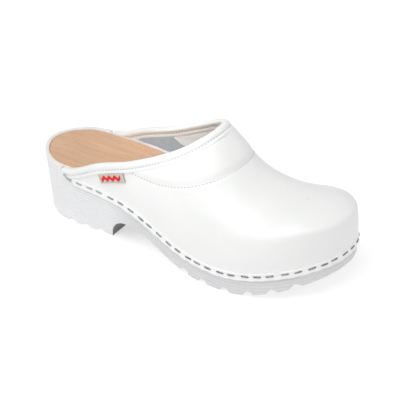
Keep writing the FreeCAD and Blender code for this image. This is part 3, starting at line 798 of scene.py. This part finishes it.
def make_binding():
    """Padded leather edge rolled over the topline, sewn down in one groove."""
    profile = [(8.25, 0.4), (8.3, -0.35), (7.9, -0.95), (6.9, -1.22), (5.9, -1.08), (5.3, -0.80),
               (4.95, -0.70), (4.6, -0.92), (4.0, -1.26), (3.0, -1.62), (1.9, -1.62), (0.9, -1.22),
               (0.25, -0.45), (0.0, 0.6), (0.0, 2.0), (0.3, 3.3), (0.95, 4.4), (2.0, 5.0), (3.2, 4.9),
               (4.3, 4.35), (4.9, 4.02), (5.5, 4.2), (6.6, 4.62), (7.8, 4.45), (8.3, 3.9), (8.3, 2.6),
               (7.9, 1.6)]
    count = 561
    rows = []
    for drop, depth in profile:
        line = topline_drop(max(drop, 0.01))
        crown = 1 - abs(drop - 3.0) / 6
        rows.append(over_row(line, rear_x(line, 0.4 - 0.5 * crown), depth, count))
    points = np.array(rows)
    centre = points.mean(0)
    out = unit(points - centre)
    spots = np.linspace(0, 1, count)[None, :, None] * 220
    pucker = 0.5 + 0.5 * np.cos(spots * 2 * math.pi / STITCH_PITCH * 1.6)
    drops = np.array(profile)[:, 0]
    near = np.exp(-((drops - STITCH_DROP) / 1.1) ** 2)[:, None, None]
    points = points - out * near * pucker * 0.14
    points = points + out * waves(points, 26, 11)[..., None] * 0.12
    ends = []
    for column, ahead in ((0, 1), (-1, -2)):
        away = unit(points[:, column] - points[:, ahead]).mean(0)
        rim_points, middle = points[:, column], points[:, column].mean(0)
        for share, reach in ((0.80, 0.55), (0.45, 0.95), (0.0, 1.1)):
            ends.append(middle + (rim_points - middle) * share + away * reach)
    points = np.concatenate([np.array(ends[:3][::-1]), points.transpose(1, 0, 2), np.array(ends[3:])])
    faces = net(*points.shape[:2], closed_columns=True)
    piece = put("padded_binding", points, faces, "leather_white", leather, ["topline_binding"])
    return piece


def make_rand_strip():
    """Rand strip under the staples: pinched where each is driven, flared between them."""
    start, end = place_at(-87.5, -1), place_at(-87.5, 1)
    places = np.linspace(start, end, 1500)
    x = outline_x.at(places)
    held = pinch(places)[:, None]
    profile = np.array([(0.3, 0.1), (-0.35, -0.3), (-0.55, -1.05), (-0.3, -1.5), (0.35, -1.52),
                        (1.2, -1.25), (2.2, -0.98), (3.1, -0.86), (4.0, -0.92), (4.7, -0.95),
                        (5.3, -0.80), (5.8, -0.45), (5.7, 0.0), (5.0, 0.35)])
    height = profile[:, 0] + (1 - held) * np.where(profile[:, 0] < 1, -0.28, 0.0) + held * np.where(
        profile[:, 0] > 4.5, -0.22, 0.0)
    depth = profile[:, 1] - (1 - held) * np.where(profile[:, 0] < 1, 0.26, 0.1) * (profile[:, 1] < -0.25)
    uneven = waves(np.concatenate([plan_point(places), x[:, None]], -1), 17, 23)[:, None] * 0.10
    lean = 0.045 * height
    spot = plan_point(np.repeat(places[:, None], len(profile), 1), STRIP_SKIN + depth - lean + uneven)
    z = RAND.at(x)[:, None] + 0.1 + height
    points = np.concatenate([spot, z[..., None]], -1)
    return put("rand_strip_leather", points, net(*points.shape[:2], closed_columns=True), "rand_white",
               rand_leather, ["rand_strip"])


def make_lining():
    """White woven lining; it puckers along the arc seam."""
    points, places = skin_net(-86, TOE_X - 1, LINING[1], 200, 130)
    faces = kept(points, below(topline_drop(6.4), points))
    offset = seam_offset(points)
    gather = 0.5 + 0.5 * np.cos(points[..., 0] * 2 * math.pi / STITCH_PITCH)
    pucker = np.exp(-(offset / 0.9) ** 2) * (0.32 + 0.16 * gather)
    lift = waves(points, 24, 31) * 0.14 + pucker * smooth_step((points[..., 0] + 60) / 20)
    piece = put("woven_lining", points + outwards(points) * (lift[..., None] - 0.1), faces,
                "lining_white", lining_cloth, ["vamp_lining"])
    apply(piece, "SOLIDIFY", thickness=0.6 * MM, offset=0.0)
    piece.data.shade_smooth()
    return piece


def make_patch(name, side, node):
    """Grey felt patch over the lining, at the side of the foot."""
    depth = LINING[1] + 0.55
    rows, columns = 60, 90
    top = topline_drop(8.0)
    share = np.linspace(0, 1, rows)[:, None]
    front_z = [z for x, z in reversed(PATCH_FRONT)]
    front_x = [x for x, z in reversed(PATCH_FRONT)]
    x = np.full((rows, columns), -60.0)
    for _ in range(12):
        low = RIM.at(x) + 0.4
        z = low + (np.maximum(top.at(x), low + 0.4) - low) * share
        reach = np.interp(z[:, -1], front_z, front_x)[:, None]
        x = -78 + (reach + 78) * np.linspace(0, 1, columns)[None, :]
    points = wall_point(x, z, side, depth)
    points[..., 1] += waves(points, 12, 41) * 0.12
    piece = put(name, points, net(rows, columns), "felt_grey", felt, [node])
    apply(piece, "SOLIDIFY", thickness=0.5 * MM, offset=0.0)
    apply(piece, "SUBSURF", levels=1, render_levels=1)
    piece.data.shade_smooth()
    return piece


def make_hidden_layer(name, rear, front, limits, slot, finish, node):
    """A layer between leather and lining, kept where every limit holds."""
    points, places = skin_net(rear, front, sum(MIDDLE) / 2, 130, 70, dense=1)
    faces = kept(points, *[limit(points) for limit in limits])
    piece = put(name, points, faces, slot, finish, [node])
    apply(piece, "SOLIDIFY", thickness=0.6 * MM, offset=0.0)
    piece.data.shade_smooth()
    return piece


def make_edge_roll():
    """Soft core inside the binding."""
    count, around = 401, 14
    rows = []
    for angle in np.linspace(0, 2 * math.pi, around, endpoint=False):
        line = topline_drop(2.15 + 0.85 * math.cos(angle))
        rows.append(over_row(line, rear_x(line, 2.0), 1.75 + 1.45 * math.sin(angle), count))
    points = np.array(rows)
    piece = put("edge_roll_core", points, net(around, count, closed_rows=True), "foam", foam,
                ["topline_edge_roll"])
    return piece


def make_label():
    """Folded woven tab, caught under the binding."""
    columns = 50
    x = np.linspace(LABEL_REAR, LABEL_FRONT, columns)
    drops = np.linspace(LABEL_TOP, LABEL_FOLD, 26)
    fold = [(LABEL_FOLD + 0.25, -0.62), (LABEL_FOLD + 0.35, -0.80), (LABEL_FOLD + 0.25, -0.98)]
    profile = [(7.9, -0.28)] + [(drop, -0.50) for drop in drops] + fold
    profile += [(drop, -1.12) for drop in drops[::-1]] + [(7.9, -0.95)]
    rows = []
    for drop, depth in profile:
        slope = TOPLINE.slope(x)
        length = np.hypot(1, slope)
        lift = depth - 0.10 * np.sin(np.linspace(0, math.pi, columns)) * (depth < -0.9)
        px, pz = x + drop * slope / length, TOPLINE.at(x) - drop / length
        points = wall_point(px, pz, -1, 0.0)
        out = unit(wall_point(px, pz, -1, -1.0) - points)
        rows.append(points - out * np.broadcast_to(lift, (columns,))[:, None])
    piece = put("woven_side_tab", np.array(rows), net(len(rows), columns), "label_cloth", label_cloth,
                ["side_label"])
    mark(piece, "along", np.tile(np.linspace(0, 1, columns), len(rows)))
    mark(piece, "down", np.repeat([(drop - 8.2) / 7.5 for drop, depth in profile], columns))
    apply(piece, "SOLIDIFY", thickness=0.26 * MM, offset=0.0)
    piece.data.shade_smooth()
    return piece


# ---------------------------------------------------------------- stitches and staples


def copies(shape, faces, spots, along, out):
    """The shape at each spot, its X along and its Z outwards, as one mesh."""
    out = unit(out - along * np.sum(out * along, -1, keepdims=True))
    across = np.cross(out, along)
    placed = (spots[:, None] + shape[None, :, :1] * along[:, None] + shape[None, :, 1:2] * across[:, None]
              + shape[None, :, 2:] * out[:, None])
    steps = np.arange(len(spots))[:, None, None] * len(shape)
    return placed.reshape(-1, 3), (faces[None] + steps).reshape(-1, faces.shape[-1])


def bent_wire(path, width, thickness, around=10, taper=False):
    """Tube of an oval section along a path in the XZ plane."""
    path = np.array(path, float)
    ahead = unit(np.gradient(path, axis=0))
    angle = np.linspace(0, 2 * math.pi, around, endpoint=False)
    rows = []
    for index, (spot, direction) in enumerate(zip(path, ahead)):
        size = math.sin(math.pi * (index + 0.35) / (len(path) - 0.3)) ** 0.5 if taper else 1.0
        side = np.array([0, 1, 0]) * width / 2 * size
        up = np.array([-direction[2], 0, direction[0]]) * thickness / 2 * size
        rows.append(spot + np.cos(angle)[:, None] * side + np.sin(angle)[:, None] * up)
    return np.concatenate(rows), net(len(path), around, closed_columns=True)


def row_frames(points, outer, pitch, first=0.5):
    """Evenly spaced spots, directions along the row and outward directions."""
    lengths = np.append(0, np.cumsum(np.linalg.norm(np.diff(points, axis=0), axis=1)))
    due = np.arange(pitch * first, lengths[-1], pitch)

    def pick(values):
        return np.stack([np.interp(due, lengths, values[:, k]) for k in range(3)], -1)

    along = pick(unit(np.gradient(points, axis=0)))
    return pick(points), unit(along), unit(pick(outer) - pick(points))


def stitch_row(line, start, depth, inwards=False):
    """Stitches along a side-view line over both sides."""
    base = over_row(line, start, depth, 900)
    outer = over_row(line, start, depth - 1, 900)
    spots, along, out = row_frames(base, outer, STITCH_PITCH)
    out = -out if inwards else out
    length = 1.35
    path = [(-length / 2 + length * i / 8, 0, 0.13 * math.sin(math.pi * i / 8) - 0.05) for i in range(9)]
    shape, faces = bent_wire(path, 0.55, 0.42, 8, taper=True)
    tilt = rng.normal(0, 0.05, (len(spots), 1))
    along = unit(along + np.cross(out, along) * tilt)
    return copies(shape, faces, spots, along, out)


def join(parts):
    points, faces, first = [], [], 0
    for spots, quads in parts:
        points.append(spots)
        faces.append(quads + first)
        first += len(spots)
    return np.concatenate(points), np.concatenate(faces)


def make_stitching():
    edge = topline_drop(STITCH_DROP)
    binding = join([stitch_row(edge, -89, -0.72), stitch_row(edge, -89, 4.06, inwards=True)])
    put("binding_thread", *binding, "thread", thread, ["binding_stitching"])
    seam = stitch_row(ARC_SEAM, -33, 0.10)
    put("instep_thread", *seam, "thread", thread, ["instep_stitching"])


def staple_shape(width=1.35, half=2.8, corner=0.62, leg=2.4):
    path = [(-half, 0, -leg), (-half, 0, -corner)]
    for step in range(1, 6):
        turn = math.pi / 2 * step / 6
        path.append((-half + corner * (1 - math.cos(turn)), 0, -corner + corner * math.sin(turn)))
    for i in range(9):
        path.append(((half - corner) * (i / 4 - 1), 0, 0.05 * math.sin(math.pi * i / 8)))
    path += [(-x, y, z) for x, y, z in path[:7][::-1]]
    return bent_wire(path, width, 0.85)


def make_staples():
    shape, faces = staple_shape()
    count = len(staple_spots)
    spots = plan_point(staple_spots, np.full(count, -0.34))
    ahead = plan_point(staple_spots + 0.5, np.full(count, -0.34))
    out = plan_point(staple_spots, np.full(count, -1.0)) - plan_point(staple_spots, np.zeros(count))
    rise = STAPLE_RISE + rng.normal(0, 0.16, count)
    spots = np.concatenate([spots, (RAND.at(spots[:, 0]) + rise)[:, None]], -1)
    ahead = np.concatenate([ahead, (RAND.at(ahead[:, 0]) + rise)[:, None]], -1)
    out = np.concatenate([out, np.zeros((count, 1))], -1)
    along = unit(ahead - spots)
    along = unit(along + np.cross(out, along) * rng.normal(0, 0.045, (count, 1)))
    points, faces = copies(shape, faces, spots, along, out)
    piece = put("rand_staples", points, faces, "staple_steel", steel, ["side_staples"])
    # painted highlight on the staples, paler towards the heel
    mark(piece, "polish", 0.7 * smooth_step((-50 - points[:, 0]) / 25))

    shape, faces = staple_shape(width=2.3, half=2.6, leg=1.2)
    slant = unit(np.array([REAR_TOP[0] - REAR_FOOT[0], 0, REAR_TOP[1] - REAR_FOOT[1]], float))
    ends = []
    for side in (-1, 1):
        spot = wall_point([END_STAPLE[0]], [END_STAPLE[1]], side, -1.75)
        out = unit(wall_point([END_STAPLE[0]], [END_STAPLE[1]], side, -2.75) - spot)
        ends.append(copies(shape, faces, spot, slant[None], out))
    points, faces = join(ends)
    piece = put("binding_end_staples", points, faces, "staple_steel", steel, ["end_staples"])
    # painted highlight over the whole of both end staples
    mark(piece, "polish", np.ones(len(points)))


# ---------------------------------------------------------------- the shoe

make_sole()
make_footbed()
make_vamp()
make_binding()
make_rand_strip()
lining = make_lining()
outer_patch = make_patch("felt_patch_outer", -1, "lining_patch_outer_side")
inner_patch = make_patch("felt_patch_inner", 1, "lining_patch_inner_side")
make_hidden_layer("toe_puff_board", PUFF_REAR, TOE_X - 0.5, [lambda points: points[..., 2] > 0],
                  "puff_board", puff_board, "toe_puff")
edge_core = topline_drop(4.2)
pad = make_hidden_layer("instep_pad", -33, 52, [lambda points: below(edge_core, points),
                                                lambda points: ~below(ARC_SEAM, points)],
                        "foam", foam, "instep_foam")
interlining = make_hidden_layer("interlining_cloth", -84, PUFF_REAR - 0.5, [
    lambda points: below(edge_core, points),
    lambda points: below(ARC_SEAM, points) | (points[..., 0] < -33)],
    "lining_white", lining_cloth, "interlining")
make_edge_roll()
label = make_label()
make_stitching()
make_staples()

# ---------------------------------------------------------------- floor, light and camera


def make_floor():
    mesh = bpy.data.meshes.new("studio_floor")
    reach = 6.0
    mesh.from_pydata([(-reach, -reach, 0), (reach, -reach, 0), (reach, reach, 0), (-reach, reach, 0)], [],
                     [(0, 1, 2, 3)])
    floor = bpy.data.objects.new("studio_floor", mesh)
    bpy.context.scene.collection.objects.link(floor)
    paper = Finish("studio_paper", Specular_IOR_Level=0.0, Emission_Color=tone(1, 1, 1),
                   Emission_Strength=0.58)
    tooth = paper.noise(1.2, 3)
    paper.set(Base_Color=paper.mix(tooth, tone(0.49, 0.49, 0.49), tone(0.52, 0.52, 0.52)),
              Roughness=0.9 + tooth * 0.1)
    mesh.materials.append(paper.material)


def stand(name, data, azimuth, elevation, distance, centre, target):
    """A lamp or camera at a distance from a centre, turned to its target."""
    turn, lift = math.radians(azimuth), math.radians(elevation)
    away = Vector((math.sin(turn) * math.cos(lift), -math.cos(turn) * math.cos(lift), math.sin(lift)))
    thing = bpy.data.objects.new(name, data)
    thing.location = Vector(centre) + away * distance
    thing.rotation_euler = (Vector(target) - thing.location).to_track_quat("-Z", "Y").to_euler()
    bpy.context.scene.collection.objects.link(thing)
    return thing


def add_softbox(name, azimuth, elevation, distance, size, power):
    lamp = bpy.data.lights.new(name, "AREA")
    lamp.shape = "DISK"
    lamp.size = size
    lamp.energy = power
    stand(name, lamp, azimuth, elevation, distance, (0, 0, 0), (0, 0, 0.04))


def add_spot(name, azimuth, elevation, distance, target, width, power):
    lamp = bpy.data.lights.new(name, "SPOT")
    lamp.spot_size = math.radians(width)
    lamp.spot_blend = 1.0
    lamp.shadow_soft_size = 0.06
    lamp.energy = power
    stand(name, lamp, azimuth, elevation, distance, target, target)


def add_camera(azimuth, elevation, distance, target, lens, shift):
    camera = bpy.data.cameras.new("camera")
    camera.sensor_width = 36
    camera.lens = lens
    camera.shift_x, camera.shift_y = shift
    bpy.context.scene.camera = stand("camera", camera, azimuth, elevation, distance, target, target)


make_floor()
add_softbox("high_softbox", -20, 68, 1.9, 1.9, 24)
add_softbox("front_fill", 24, 36, 2.2, 1.3, 2)
add_softbox("toe_fill", 80, 55, 2.2, 1.6, 6)
add_spot("opening_spot", 4, 38, 1.0, (-0.016, 0.030, 0.082), 8, 16)
world = bpy.data.worlds.new("studio")
bpy.context.scene.world = world
world.use_nodes = True
world.node_tree.nodes["Background"].inputs["Color"].default_value = (1, 1, 1, 1)
world.node_tree.nodes["Background"].inputs["Strength"].default_value = 0.42
bpy.context.scene.view_settings.view_transform = "Standard"
add_camera(32.2, 31.6, 1.115, (0.0026, 0, 0.040), 128, (0.0125, -0.0125))
